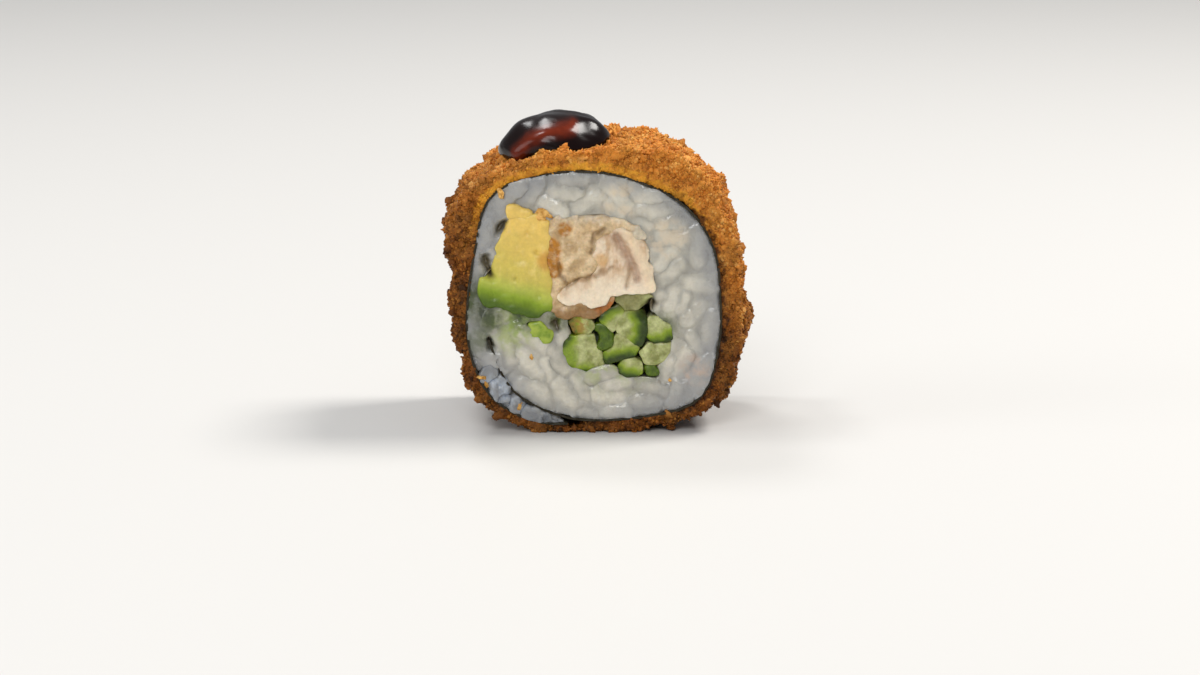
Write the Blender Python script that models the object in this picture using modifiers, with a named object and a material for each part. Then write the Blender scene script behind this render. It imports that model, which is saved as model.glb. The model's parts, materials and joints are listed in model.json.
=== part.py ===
"""One cut piece of a crispy chicken roll, standing on its crust with a cut face to the front.

The roll runs along Y, so its two cut faces look along -Y and +Y, and +Z is up. From the outside in it is
a fried crumb coat, a sheet of nori that overlaps itself at the lower left, and sushi rice round three
fillings that run right through: avocado, chicken in batter and cucumber sticks. A drop of thick sauce lies
on top. Every piece is modelled about the middle of the roll, which an empty holds at its height.
"""

import math
import random

import bmesh
import bpy
from mathutils import Matrix, Vector, noise

MM = 0.001

# Driving sizes, in metres
DEPTH = 28 * MM  # between the two cut faces
ROLL_HEIGHT = 22.2 * MM  # the middle of the roll above the flat foot
ROLL_SIDEWAYS = 0.1 * MM  # the middle of the roll, to the right of the middle of the whole piece
GAP = 0.3 * MM  # between neighbouring pieces
NORI_THICKNESS = 0.35 * MM
GRAIN_LENGTH = 6.0 * MM
GRAIN_WIDTH = 2.75 * MM
GRAIN_THICKNESS = 2.3 * MM
GRAIN_RELIEF = 0.8 * MM  # how far the grains stand out of the rice's core
GRAIN_RINGS = 7
FIRST_RING = 0.6  # in grain widths inside the nori
GRAIN_SPACING = 0.97  # in grain lengths, along a ring
RING_WANDER = 0.3  # millimetres that a grain may lie off its ring
GRAIN_SIZES = (0.9, 1.06)  # smallest and largest share of the full size
GRAIN_DEPTHS = (0.1, 0.6)  # millimetres that the middle of a grain lies behind the core's end
GRAIN_TILTS = (0.3, 0.5, 0.4)  # the most that a grain turns about each axis, in radians
FILLING_TURN = math.radians(4)  # how far the fillings turn round the roll from the front to the back
FILLING_DRIFT = Vector((-0.5, 0, 0.4)) * MM  # and how far they move
EASED_RIM = 0.12 * MM  # round the ends of a filling
RIM_EDGE = math.radians(60)  # an edge that turns more than this is a rim
SHARP_TURN = math.radians(38)  # a corner of a filling's outline that turns more than this is rounded
CORNER_SHARE = 0.3  # of each side that a rounded corner may take
LEAST_MITRE = 0.5  # keeps a very sharp corner from moving far when an outline grows

# How far the cut ends of the outer pieces lie behind the two faces
COAT_SHY = 0.35 * MM
NORI_SHY = 0.15 * MM
RICE_SHY = 0.1 * MM

# The relief of the crumb coat: broad lumps, as a share of its thickness, and small crags
LUMP_SIZE = 6 * MM
LUMP_SHARE = 0.24
CRAG_SIZE = 2.7 * MM
CRAG_HEIGHT = 0.85 * MM
CRAG_PATTERN = Vector((7, 3, 5))  # where the pattern of the crags starts
CRAGS_FROM = 0.3  # of the coat's thickness: deeper than this it is smooth
CRAGS_OVER = 0.5  # and over this share of it the relief rises to its full height
END_CRAG_SHARE = 0.6  # how much of the crags' height the cut ends have at their outer edge
LAST_OUTER_ROW = 0.89  # of the coat's half length: beyond it the outside turns into the cut end

# Radii of the nori and of the outside of the crumb coat, in millimetres from the middle of the roll.
# They start at the right and go round by way of the top, in equal steps.
NORI_RADII = (20.0, 20.5, 20.6, 19.9, 20.3, 21.4, 23.2, 20.6, 20.3, 21.8, 23.3, 22.2, 20.2, 21.1, 23.5, 21.4)
COAT_RADII = (24.0, 24.6, 25.6, 25.0, 24.2, 25.0, 26.4, 26.1, 23.3, 23.8, 25.3, 24.4, 22.7, 23.9, 26.4, 25.6)

# The inner end of the nori starts at its own radius, and joins the full turn further round.
TAIL_START = math.radians(202)
TAIL_JOIN = math.radians(232)
TAIL_END = math.radians(270)
TAIL_START_RADIUS = 18.4 * MM
TAIL_RADIUS = 20.15 * MM
SLIT_PAST_TAIL = math.radians(3)  # how far the slit in the rice runs past the end of the tail
POCKET_END = math.radians(252)  # from here on the pocket under the tail is open to the outside
NORI_END = math.radians(258) + math.tau

# Outlines of the fillings at the front cut, in millimetres from the middle of the roll: x right, z up.
# Two neighbours share the points where they meet.
AVOCADO_TO_BATTER = ((-7.5, 12.3), (-7.3, 8.5), (-7.8, 5.0), (-6.9, 1.0), (-7.2, -2.2))
AVOCADO_TO_CHIP = ((-13.6, 12.6), (-11.3, 12.6), (-9.9, 13.5))
AVOCADO_REST = ((-10.4, -3.1), (-15.2, -1.6), (-18.6, -0.7), (-18.3, 2.6), (-16.7, 3.9), (-15.6, 8.0))
CHIP_REST = ((-10.2, 14.1), (-11.8, 14.2), (-13.7, 14.9), (-14.1, 14.2))
SLIVER = ((-11.0, -4.2), (-9.0, -3.9), (-6.9, -5.8), (-6.8, -7.2), (-8.3, -7.2), (-10.3, -5.8))
MEAT_TO_BATTER = (
    (7.4, 9.2), (5.4, 10.5), (3.7, 10.9), (1.6, 10.7), (0.3, 9.6), (0.1, 7.0), (0.5, 4.7), (-0.9, 3.2),
    (-3.7, 2.1), (-5.4, 0.9), (-5.8, -0.3), (-5.1, -1.0), (-2.4, -0.7), (0.0, -1.4), (1.4, -0.8), (2.3, 0.5),
)
MEAT_REST = ((3.0, 0.7), (5.2, 0.9), (9.6, 1.2), (9.5, 3.4), (8.7, 6.2))
BATTER_REST = (
    (-5.9, -3.1), (-4.2, -2.9), (-2.5, -2.9), (-0.8, -3.3), (1.0, -2.6), (2.3, -1.3), (3.0, -0.4),
    (8.0, 10.0), (6.0, 11.5), (4.0, 12.4), (1.2, 13.5), (-2.4, 13.3), (-5.6, 13.0),
)
CUCUMBERS = (
    ((3.4, 0.5), (7.6, 0.9), (9.2, -0.1), (8.0, -1.2), (6.4, -2.1), (4.9, -1.9), (3.7, -0.9)),
    ((0.6, -3.4), (2.0, -2.1), (3.4, -1.4), (4.5, -2.3), (4.5, -3.3), (3.5, -4.4), (2.9, -5.4), (1.6, -4.6)),
    ((4.7, -2.5), (7.4, -2.4), (8.2, -4.2), (8.2, -5.9), (7.0, -7.8), (5.0, -6.2), (3.6, -5.6), (3.7, -4.5)),
    ((8.6, -3.8), (9.7, -3.3), (11.6, -4.4), (12.4, -6.6), (11.4, -7.0), (9.4, -7.3), (8.5, -6.4)),
    (
        (3.4, -6.1), (4.8, -6.1), (6.8, -8.1), (6.2, -9.4), (3.4, -10.3), (2.1, -10.9), (1.2, -9.0),
        (2.9, -8.3),
    ),
    ((0.0, -4.4), (0.9, -4.4), (3.0, -5.9), (2.7, -8.0), (0.9, -8.5), (0.3, -7.9), (0.9, -7.0), (0.3, -5.5)),
    ((-4.2, -3.9), (-3.0, -3.2), (-1.5, -3.5), (-0.3, -4.0), (-0.3, -5.4), (-1.3, -6.1), (-3.0, -6.1)),
    (
        (-4.9, -7.9), (-3.7, -6.6), (-0.4, -6.4), (0.0, -7.9), (0.7, -9.2), (1.4, -11.8), (-0.2, -12.5),
        (-4.5, -11.0),
    ),
    ((4.2, -10.5), (5.9, -9.8), (7.5, -10.8), (7.4, -12.6), (5.0, -12.8), (3.6, -12.2)),
    ((7.9, -11.1), (9.7, -11.1), (10.2, -12.9), (8.2, -12.7)),
    ((7.3, -8.7), (8.5, -7.7), (12.2, -7.4), (12.1, -8.9), (11.2, -10.2), (9.7, -10.8), (8.0, -10.7)),
)
BUNDLE = (
    (-4.3, -2.8), (0.0, -2.8), (2.2, 0.3), (3.3, 1.0), (7.7, 1.2), (9.6, 0.0), (9.9, -3.1), (11.8, -4.3),
    (12.5, -6.7), (12.3, -9.0), (11.3, -10.4), (10.2, -11.0), (10.5, -13.2), (7.5, -13.0), (4.9, -13.0),
    (3.5, -12.4), (1.6, -12.0), (-0.2, -12.7), (-4.7, -11.2), (-5.0, -7.8), (-4.3, -6.2),
)

# The drop of sauce: where its middle lies on the crumbs, its half sizes along them, and its height.
SAUCE_ANGLE = math.radians(104.5)
SAUCE_Y = -3.5 * MM
SAUCE_HALF_ANGLE = math.radians(20.5)
SAUCE_HALF_DEPTH = 8.2 * MM
SAUCE_HEIGHT = 4.6 * MM
SAUCE_CREASE = 0.42  # the crease between its two swells, in half widths to the right of its middle
SAUCE_CREASE_WIDTH = 0.14  # in the same half widths
SAUCE_CREASE_DEPTH = 0.22  # as a share of the height, at the front end
SAUCE_CLEARANCE = 1.3 * GAP

# How far the ends of the fillings lie behind the two faces. Each stick has its own depth.
WEDGE_SHY = 0.2 * MM
CHIP_SHY = 0.3 * MM
SLIVER_SHY = 0.25 * MM
MEAT_SHY = 0.1 * MM
BATTER_SHY = 0.3 * MM
STICK_SHY = 0.15 * MM
STICK_SHY_SPREAD = 0.35 * MM
STICK_STEP = 0.62  # from one stick to the next, as a share of that spread
STICK_CORNER = 0.5 * MM


def clear_scene():
    for obj in list(bpy.data.objects):
        bpy.data.objects.remove(obj)
    for empty_collection in list(bpy.data.collections):
        bpy.data.collections.remove(empty_collection)


def new_collection(name):
    made = bpy.data.collections.new(name)
    bpy.context.scene.collection.children.link(made)
    return made


def new_material(name, colour, roughness):
    made = bpy.data.materials.new(name)
    made.use_nodes = True
    made.diffuse_color = (*colour, 1)
    shader = made.node_tree.nodes["Principled BSDF"]
    shader.inputs["Base Color"].default_value = (*colour, 1)
    shader.inputs["Roughness"].default_value = roughness
    shader.inputs["Metallic"].default_value = 0
    return made


def placed(name, mesh, home, middle):
    """An object for this mesh, in a collection, and carried by the empty at the middle of the roll."""
    obj = bpy.data.objects.new(name, mesh)
    home.objects.link(obj)
    obj.parent = middle
    return obj


def as_cutter(obj):
    obj.hide_render = True
    obj.display_type = "WIRE"
    return obj


def apply_modifier(obj, modifier):
    with bpy.context.temp_override(object=obj, active_object=obj, selected_objects=[obj]):
        bpy.ops.object.modifier_apply(modifier=modifier.name)


def boolean(obj, operation, other, solver="EXACT"):
    """Joins, cuts or keeps what is common, with one object or with all the objects of a collection."""
    bpy.context.view_layer.update()
    modifier = obj.modifiers.new(operation.lower(), "BOOLEAN")
    modifier.operation = operation
    modifier.solver = solver
    if isinstance(other, bpy.types.Collection):
        modifier.operand_type = "COLLECTION"
        modifier.collection = other
    else:
        modifier.object = other
    apply_modifier(obj, modifier)


def polar(angle, radius):
    return radius * math.cos(angle), radius * math.sin(angle)


def radius_at(radii, angle):
    """A smooth closed curve through radii at equal steps, read at any angle."""
    count = len(radii)
    steps = (angle / math.tau) % 1 * count
    first = int(steps)
    t = steps - first
    a, b, c, d = (radii[(first + k) % count] for k in (-1, 0, 1, 2))
    smooth = b + t * ((c - a) + t * ((2 * a - 5 * b + 4 * c - d) + t * (3 * b - a - 3 * c + d))) / 2
    return smooth * MM


def smoothstep(value):
    value = min(max(value, 0), 1)
    return value * value * (3 - 2 * value)


def tail_radius(angle):
    """The middle of the nori along its inner end."""
    rise = smoothstep((angle - TAIL_START) / (TAIL_JOIN - TAIL_START))
    return TAIL_START_RADIUS + (TAIL_RADIUS - TAIL_START_RADIUS) * rise


def scaled(points):
    return [(x * MM, z * MM) for x, z in points]


def rounded(points, radius):
    """The outline with each sharp corner cut back by up to this radius and turned in three points."""
    corners = [Vector(p) for p in points]
    found = []
    for before, corner, after in zip(corners[-1:] + corners, corners, corners[1:] + corners[:1]):
        if (corner - before).angle(after - corner) < SHARP_TURN:
            found.append(corner)
            continue
        reach = min(radius, (before - corner).length * CORNER_SHARE, (after - corner).length * CORNER_SHARE)
        start = corner + (before - corner).normalized() * reach
        end = corner + (after - corner).normalized() * reach
        found += [start, (start + end) / 4 + corner / 2, end]
    return [(p.x, p.y) for p in found]


def grown(points, distance):
    """The outline moved outwards by this distance, or inwards where it is negative."""
    corners = [Vector(p) for p in points]
    area = sum(a.cross(b) for a, b in zip(corners, corners[1:] + corners[:1]))
    side = distance if area > 0 else -distance
    found = []
    for before, corner, after in zip(corners[-1:] + corners, corners, corners[1:] + corners[:1]):
        arriving = (corner - before).normalized()
        leaving = (after - corner).normalized()
        outwards = Vector((arriving.y + leaving.y, -arriving.x - leaving.x)).normalized()
        across = outwards.dot(Vector((arriving.y, -arriving.x)))
        found.append(corner + outwards * side / max(across, LEAST_MITRE))
    return [(p.x, p.y) for p in found]


def inside(point, outline):
    """Whether a point lies inside an outline, by counting the sides to its right."""
    x, z = point
    crossings = 0
    for (ax, az), (bx, bz) in zip(outline, outline[1:] + outline[:1]):
        if (az > z) != (bz > z) and x < ax + (z - az) * (bx - ax) / (bz - az):
            crossings += 1
    return crossings % 2 == 1


def curve_mesh(name, points, half_length, closed=True):
    """A mesh of a flat curve in the XZ plane, drawn out along Y. A closed one has its ends filled."""
    curve = bpy.data.curves.new(name, "CURVE")
    curve.dimensions = "2D" if closed else "3D"
    curve.fill_mode = "BOTH" if closed else "HALF"
    curve.extrude = half_length
    spline = curve.splines.new("POLY")
    spline.points.add(len(points) - 1)
    for at, (x, z) in zip(spline.points, points):
        at.co = (x, z, 0, 1)
    spline.use_cyclic_u = closed
    guide = bpy.data.objects.new(name, curve)
    bpy.context.scene.collection.objects.link(guide)
    graph = bpy.context.evaluated_depsgraph_get()
    mesh = bpy.data.meshes.new_from_object(guide.evaluated_get(graph))
    bpy.data.objects.remove(guide)
    mesh.transform(Matrix.Rotation(math.radians(90), 4, "X"))
    shape = bmesh.new()
    shape.from_mesh(mesh)
    bmesh.ops.remove_doubles(shape, verts=shape.verts, dist=0.001 * MM)
    if closed:
        bmesh.ops.dissolve_limit(
            shape, angle_limit=math.radians(0.5), verts=shape.verts, edges=shape.edges
        )
        bmesh.ops.recalc_face_normals(shape, faces=shape.faces)
    shape.to_mesh(mesh)
    shape.free()
    mesh.name = name
    return mesh


def lean(mesh):
    """Turns and moves a filling, or the room cut for it, more and more from the front cut to the back one."""
    for vertex in mesh.vertices:
        share = vertex.co.y / DEPTH + 0.5
        vertex.co = Matrix.Rotation(FILLING_TURN * share, 3, "Y") @ vertex.co + FILLING_DRIFT * share


def shade(obj, angle=math.radians(40)):
    obj.data.shade_smooth()
    obj.data.set_sharp_from_angle(angle=angle)


def filling(name, outline, corner, end_shy, material, home, middle):
    """One filling that runs through the roll, half a gap inside its outline, with its end rims eased."""
    section = rounded(grown(scaled(outline), -GAP / 2), corner)
    mesh = curve_mesh(name, section, DEPTH / 2 - end_shy)
    lean(mesh)
    obj = placed(name, mesh, home, middle)
    easing = obj.modifiers.new("eased_rims", "BEVEL")
    easing.width = EASED_RIM
    easing.segments = 1
    easing.angle_limit = RIM_EDGE
    mesh.materials.append(material)
    shade(obj)
    return obj


def coat_section():
    """The coat's section as (along, across): -1 to 1 from front to back, 0 to 1 from inside to outside."""
    front = [(-1.0, 0.0), (-1.0, 0.4), (-1.0, 0.75), (-0.965, 0.95)]
    rows = 12
    outside = [(-LAST_OUTER_ROW + 2 * LAST_OUTER_ROW * row / (rows - 1), 1.0) for row in range(rows)]
    back = [(-along, across) for along, across in reversed(front)]
    return front + outside + back + [(0.0, 0.0)]


def coat_point(angle, along, across):
    """A point of the crumb coat. It is smooth inside, and lumpy and craggy outside."""
    inner = radius_at(NORI_RADII, angle) + NORI_THICKNESS / 2 + GAP
    thickness = radius_at(COAT_RADII, angle) - inner
    x, z = polar(angle, inner + thickness * across)
    y = along * (DEPTH / 2 - COAT_SHY)
    lumps = noise.noise(Vector((x, y, z)) / LUMP_SIZE) * LUMP_SHARE * thickness
    crags = noise.noise(Vector((x, y, z)) / CRAG_SIZE + CRAG_PATTERN) * CRAG_HEIGHT
    outer_share = smoothstep((across - CRAGS_FROM) / CRAGS_OVER)
    x, z = polar(angle, inner + thickness * across + (lumps + crags) * outer_share)
    end_relief = math.copysign(abs(along) ** 8, along) * crags * across * END_CRAG_SHARE
    return Vector((x, y + end_relief, max(z, -ROLL_HEIGHT)))


def moulded(mesh):
    """Turns all faces outwards once the vertices of a primitive have been moved."""
    shape = bmesh.new()
    shape.from_mesh(mesh)
    bmesh.ops.recalc_face_normals(shape, faces=shape.faces)
    shape.to_mesh(mesh)
    shape.free()
    return mesh


def primitive_mesh(name):
    """The mesh of the primitive that was just added, without its object."""
    added = bpy.context.object
    mesh = added.data
    mesh.name = name
    bpy.data.objects.remove(added)
    return mesh


def crumb_coat(home, middle):
    """A torus whose round section is drawn out into the coat's, from the front cut to the back one."""
    section = coat_section()
    turns = 122
    bpy.ops.mesh.primitive_torus_add(major_segments=turns, minor_segments=len(section))
    mesh = primitive_mesh("crumb_coat")
    for index, vertex in enumerate(mesh.vertices):
        turn, place = divmod(index, len(section))
        vertex.co = coat_point(math.tau * turn / turns, *section[place])
    mesh.materials.append(new_material("fried_crumbs", (0.42, 0.17, 0.03), 0.75))
    shade(placed("crumb_coat", moulded(mesh), home, middle))


def nori(home, middle):
    """One long strip that starts inside, goes round once and ends over its own beginning."""
    steps = 76
    path = []
    for step in range(steps + 1):
        angle = TAIL_START + (NORI_END - TAIL_START) * step / steps
        radius = tail_radius(angle) if angle < TAIL_END else radius_at(NORI_RADII, angle)
        path.append(polar(angle, radius))
    mesh = curve_mesh("nori", path, DEPTH / 2 - NORI_SHY, closed=False)
    mesh.materials.append(new_material("toasted_nori", (0.018, 0.022, 0.014), 0.55))
    obj = placed("nori", mesh, home, middle)
    wall = obj.modifiers.new("sheet", "SOLIDIFY")
    wall.thickness = NORI_THICKNESS
    wall.offset = 0
    shade(obj)


def rice_outline():
    steps = 84
    turn = [math.tau * step / steps for step in range(steps)]
    return [polar(angle, radius_at(NORI_RADII, angle) - NORI_THICKNESS / 2 - GAP) for angle in turn]


def nori_slit():
    """The room that the inner end of the nori takes in the rice."""
    half = NORI_THICKNESS / 2 + GAP
    steps = 16
    start = TAIL_START - half / TAIL_START_RADIUS
    finish = TAIL_END + SLIT_PAST_TAIL
    angles = [start + (finish - start) * step / steps for step in range(steps + 1)]
    inner = [polar(angle, tail_radius(angle) - half) for angle in angles]
    clear = 25 * MM
    outer = [polar(angle, tail_radius(angle) + half if angle < POCKET_END else clear) for angle in angles]
    return inner + outer[::-1]


def grains(outlines, home, middle):
    """Rice grains that lie at both cut faces, ring by ring from the nori inwards, outside the fillings."""
    draw = random.Random(11)
    core_end = DEPTH / 2 - GRAIN_RELIEF
    for side in (-1, 1):
        for ring in range(GRAIN_RINGS):
            sunk = GRAIN_WIDTH * (FIRST_RING + ring)
            angle = draw.uniform(0, 1)
            last = angle + math.tau
            while angle < last:
                radius = radius_at(NORI_RADII, angle) - sunk
                step = (GRAIN_LENGTH * GRAIN_SPACING) / max(radius, GRAIN_LENGTH)
                angle += step
                x, z = polar(angle, radius + draw.uniform(-RING_WANDER, RING_WANDER) * MM)
                if radius < GRAIN_WIDTH or any(inside((x, z), outline) for outline in outlines):
                    continue
                bpy.ops.mesh.primitive_uv_sphere_add(segments=6, ring_count=4)
                grain = bpy.context.object
                bpy.context.scene.collection.objects.unlink(grain)
                home.objects.link(grain)
                grain.parent = middle
                size = draw.uniform(*GRAIN_SIZES) / 2
                grain.scale = (GRAIN_WIDTH * size, GRAIN_THICKNESS * size, GRAIN_LENGTH * size)
                lean_x, turn_y, lean_z = (draw.uniform(-most, most) for most in GRAIN_TILTS)
                grain.rotation_euler = (lean_x, turn_y - angle, lean_z)
                grain.location = (x, side * (core_end - draw.uniform(*GRAIN_DEPTHS) * MM), z)


def rice(spaces, home, cutters, middle):
    """A core that fills the nori, with grains fused to both faces, cut flush and cut round the fillings.

    Each space is the outline of one or more fillings, with the radius of its corners.
    """
    outline = rice_outline()
    core = placed("rice", curve_mesh("rice", outline, DEPTH / 2 - GRAIN_RELIEF), home, middle)
    loose = new_collection("loose_grains")
    grains([scaled(space) for space, _ in spaces], loose, middle)
    boolean(core, "UNION", loose, solver="MANIFOLD")
    for grain in list(loose.objects):
        bpy.data.objects.remove(grain)
    bpy.data.collections.remove(loose)
    slab = curve_mesh("cut_slab", outline, DEPTH / 2 - RICE_SHY)
    boolean(core, "INTERSECT", as_cutter(placed("cut_slab", slab, cutters, middle)), solver="MANIFOLD")
    rooms = new_collection("filling_rooms")
    for index, (space, corner) in enumerate(spaces):
        name = f"room_{index + 1}"
        mesh = curve_mesh(name, rounded(grown(scaled(space), GAP / 2), corner), DEPTH)
        lean(mesh)
        as_cutter(placed(name, mesh, rooms, middle))
    slit = curve_mesh("nori_slit", nori_slit(), DEPTH)
    as_cutter(placed("nori_slit", slit, rooms, middle))
    boolean(core, "DIFFERENCE", rooms, solver="MANIFOLD")
    cutters.children.link(rooms)
    bpy.context.scene.collection.children.unlink(rooms)
    core.data.materials.append(new_material("sushi_rice", (0.62, 0.60, 0.52), 0.4))
    shade(core)


def sauce_drop(home, middle):
    """A sphere laid over the crumbs: its underside follows them, and its top swells in two places."""
    bpy.ops.mesh.primitive_uv_sphere_add(segments=24, ring_count=12)
    mesh = primitive_mesh("sauce_drop")
    for vertex in mesh.vertices:
        across, along, up = vertex.co
        angle = SAUCE_ANGLE - across * SAUCE_HALF_ANGLE
        y = SAUCE_Y + along * SAUCE_HALF_DEPTH
        bed = coat_point(angle, y / (DEPTH / 2), 1.0)
        near_crease = math.exp(-(((across - SAUCE_CREASE) / SAUCE_CREASE_WIDTH) ** 2))
        crease = SAUCE_CREASE_DEPTH * near_crease * (1 - along) / 2
        height = SAUCE_CLEARANCE + SAUCE_HEIGHT * max(up, 0) * (1 - crease)
        outwards = Vector((math.cos(angle), 0, math.sin(angle)))
        vertex.co = Vector((bed.x, y, bed.z)) + outwards * height
    mesh.materials.append(new_material("brown_sauce", (0.05, 0.008, 0.004), 0.1))
    shade(placed("sauce_drop", moulded(mesh), home, middle), math.radians(60))


def build():
    clear_scene()
    parts = new_collection("crispy_chicken_roll")
    cutters = new_collection("cutters")
    middle = bpy.data.objects.new("roll_middle", None)
    middle.location = (ROLL_SIDEWAYS, 0, ROLL_HEIGHT)
    parts.objects.link(middle)

    wedge = AVOCADO_TO_BATTER + AVOCADO_REST + AVOCADO_TO_CHIP
    chip = AVOCADO_TO_CHIP + CHIP_REST
    meat = MEAT_TO_BATTER + MEAT_REST
    batter = AVOCADO_TO_BATTER + BATTER_REST[:7] + MEAT_TO_BATTER[::-1] + BATTER_REST[7:]
    corners = {
        wedge: 0.7 * MM, chip: 0.3 * MM, SLIVER: 0.6 * MM, meat: 0.6 * MM, batter: 0.5 * MM, BUNDLE: 0.6 * MM,
    }

    crumb_coat(parts, middle)
    nori(parts, middle)
    rice(list(corners.items()), parts, cutters, middle)

    flesh = new_material("avocado_flesh", (0.55, 0.46, 0.11), 0.5)
    green_flesh = new_material("avocado_green", (0.23, 0.3, 0.04), 0.5)
    chicken = new_material("chicken", (0.68, 0.56, 0.42), 0.55)
    fried_batter = new_material("batter", (0.5, 0.33, 0.16), 0.5)
    filling("avocado_wedge", wedge, corners[wedge], WEDGE_SHY, flesh, parts, middle)
    filling("avocado_chip", chip, corners[chip], CHIP_SHY, flesh, parts, middle)
    filling("avocado_sliver", SLIVER, corners[SLIVER], SLIVER_SHY, green_flesh, parts, middle)
    filling("chicken_meat", meat, corners[meat], MEAT_SHY, chicken, parts, middle)
    filling("chicken_batter", batter, corners[batter], BATTER_SHY, fried_batter, parts, middle)
    cucumber = new_material("cucumber", (0.2, 0.23, 0.07), 0.35)
    for index, outline in enumerate(CUCUMBERS):
        end_shy = STICK_SHY + STICK_SHY_SPREAD * (index * STICK_STEP % 1)
        filling(f"cucumber_stick_{index + 1}", outline, STICK_CORNER, end_shy, cucumber, parts, middle)
    sauce_drop(parts, middle)


build()
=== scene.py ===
# %% [markdown]
# # One piece of a crispy chicken roll
#
# A rolled sushi is dipped in batter, turned in bread crumbs, fried and cut. This lesson dresses the packed
# solids of one such piece: its outlines, its nori and its fillings are already the right size and in the
# right place, and here every one of them gets the surface that the real food has.
# We work in millimetres from the middle line of the roll, because all the food is laid out round that line.

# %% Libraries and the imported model
import json
import math

import bpy
import numpy as np
from mathutils import Euler, Matrix, Vector, noise
from mathutils.bvhtree import BVHTree
from mathutils.kdtree import KDTree

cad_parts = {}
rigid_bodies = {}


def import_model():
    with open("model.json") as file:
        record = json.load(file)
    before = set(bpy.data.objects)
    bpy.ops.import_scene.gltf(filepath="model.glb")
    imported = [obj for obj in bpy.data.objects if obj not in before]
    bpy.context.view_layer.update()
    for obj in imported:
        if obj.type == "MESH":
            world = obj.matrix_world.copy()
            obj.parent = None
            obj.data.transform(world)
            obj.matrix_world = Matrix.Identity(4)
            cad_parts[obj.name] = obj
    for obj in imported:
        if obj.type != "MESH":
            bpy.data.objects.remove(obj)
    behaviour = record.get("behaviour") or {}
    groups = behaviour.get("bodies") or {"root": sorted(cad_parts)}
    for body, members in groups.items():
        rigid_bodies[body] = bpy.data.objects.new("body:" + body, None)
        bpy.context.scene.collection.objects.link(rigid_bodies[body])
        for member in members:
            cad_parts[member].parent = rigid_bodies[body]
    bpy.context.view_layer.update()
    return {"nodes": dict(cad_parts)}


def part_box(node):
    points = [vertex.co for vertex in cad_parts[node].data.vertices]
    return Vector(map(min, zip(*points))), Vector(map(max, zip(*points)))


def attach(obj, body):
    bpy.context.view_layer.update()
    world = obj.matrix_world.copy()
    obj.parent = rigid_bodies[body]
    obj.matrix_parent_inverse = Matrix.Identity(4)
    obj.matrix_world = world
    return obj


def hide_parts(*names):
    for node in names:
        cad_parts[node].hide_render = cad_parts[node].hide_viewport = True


for left_over in list(bpy.data.objects):
    bpy.data.objects.remove(left_over)
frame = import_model()

MM = 0.001
MIDDLE = Vector((0.1, 0, 22.2)) * MM
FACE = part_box("rice")[1].y / MM
print(f"{len(frame['nodes'])} nodes, cut faces at {FACE:.1f} mm to the front and the back")

# %% [markdown]
# ## Small tools
#
# An operator works on whatever is selected, so each step starts by selecting one object and nothing else.
# A piece starts as a welded copy of a CAD node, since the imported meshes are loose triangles. Voxel remeshing
# then gives it even, small faces, which is what sculpting in code needs.

# %% Selecting, copying and modifying
def only(piece):
    bpy.ops.object.select_all(action="DESELECT")
    piece.select_set(True)
    bpy.context.view_layer.objects.active = piece
    return piece


def new_piece(name, mesh):
    piece = bpy.data.objects.new(name, mesh)
    bpy.context.scene.collection.objects.link(piece)
    return only(piece)


def node_copy(node, name):
    piece = new_piece(name, frame["nodes"][node].data.copy())
    piece.data.materials.clear()
    bpy.ops.object.mode_set(mode="EDIT")
    bpy.ops.mesh.select_all(action="SELECT")
    bpy.ops.mesh.customdata_custom_splitnormals_clear()
    bpy.ops.mesh.remove_doubles(threshold=0.01 * MM)
    bpy.ops.object.mode_set(mode="OBJECT")
    return piece


def modify(piece, kind, **settings):
    """Adds a modifier, sets it and applies it."""
    only(piece)
    modifier = piece.modifiers.new(kind.lower(), kind)
    for setting, value in settings.items():
        setattr(modifier, setting, value)
    bpy.ops.object.modifier_apply(modifier=modifier.name)
    return piece


def remeshed(piece, voxel):
    return modify(piece, "REMESH", mode="VOXEL", voxel_size=voxel * MM)


# %% Reading and moving vertices, in millimetres from the middle of the roll
def places(piece):
    flat = np.empty(len(piece.data.vertices) * 3, np.float32)
    piece.data.vertices.foreach_get("co", flat)
    return (flat.reshape(-1, 3) - np.array(MIDDLE)) / MM


def put(piece, points):
    flat = (points * MM + np.array(MIDDLE)).astype(np.float32).ravel()
    piece.data.vertices.foreach_set("co", flat)
    piece.data.update()


def directions(piece):
    flat = np.empty(len(piece.data.vertices) * 3, np.float32)
    piece.data.vertices.foreach_get("normal", flat)
    return flat.reshape(-1, 3)


def paint(piece, name, values):
    """Keeps a number on each vertex, which a material reads by its name."""
    layer = piece.data.attributes.get(name) or piece.data.attributes.new(name, "FLOAT", "POINT")
    layer.data.foreach_set("value", np.asarray(values, np.float32))


def move_out(points, angle, distance):
    """Moves points away from the middle line, or towards it where the distance is negative."""
    points[:, 0] += np.cos(angle) * distance
    points[:, 2] += np.sin(angle) * distance


def raise_face(points, height):
    """Moves points out of the roll through the cut face on their side."""
    points[:, 1] += np.sign(points[:, 1]) * height


def press(points, plane, share):
    """Presses what stands out beyond this far to the front and the back in again, by a share of it."""
    raise_face(points, -np.maximum(abs(points[:, 1]) - plane, 0) * share)


# %% Smooth steps, ripples and rings
def smooth(value, low, high):
    share = np.clip((value - low) / (high - low), 0, 1)
    return share * share * (3 - 2 * share)


def ripple(points, size, start=0.0):
    """Smooth noise from -1 to 1 at each point. size is in millimetres, one number or one for each axis."""
    scaled = np.asarray(points) / np.asarray(size) + start
    return np.array([noise.noise(Vector(point)) for point in scaled.tolist()])


WELL_OUTSIDE = 40


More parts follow.
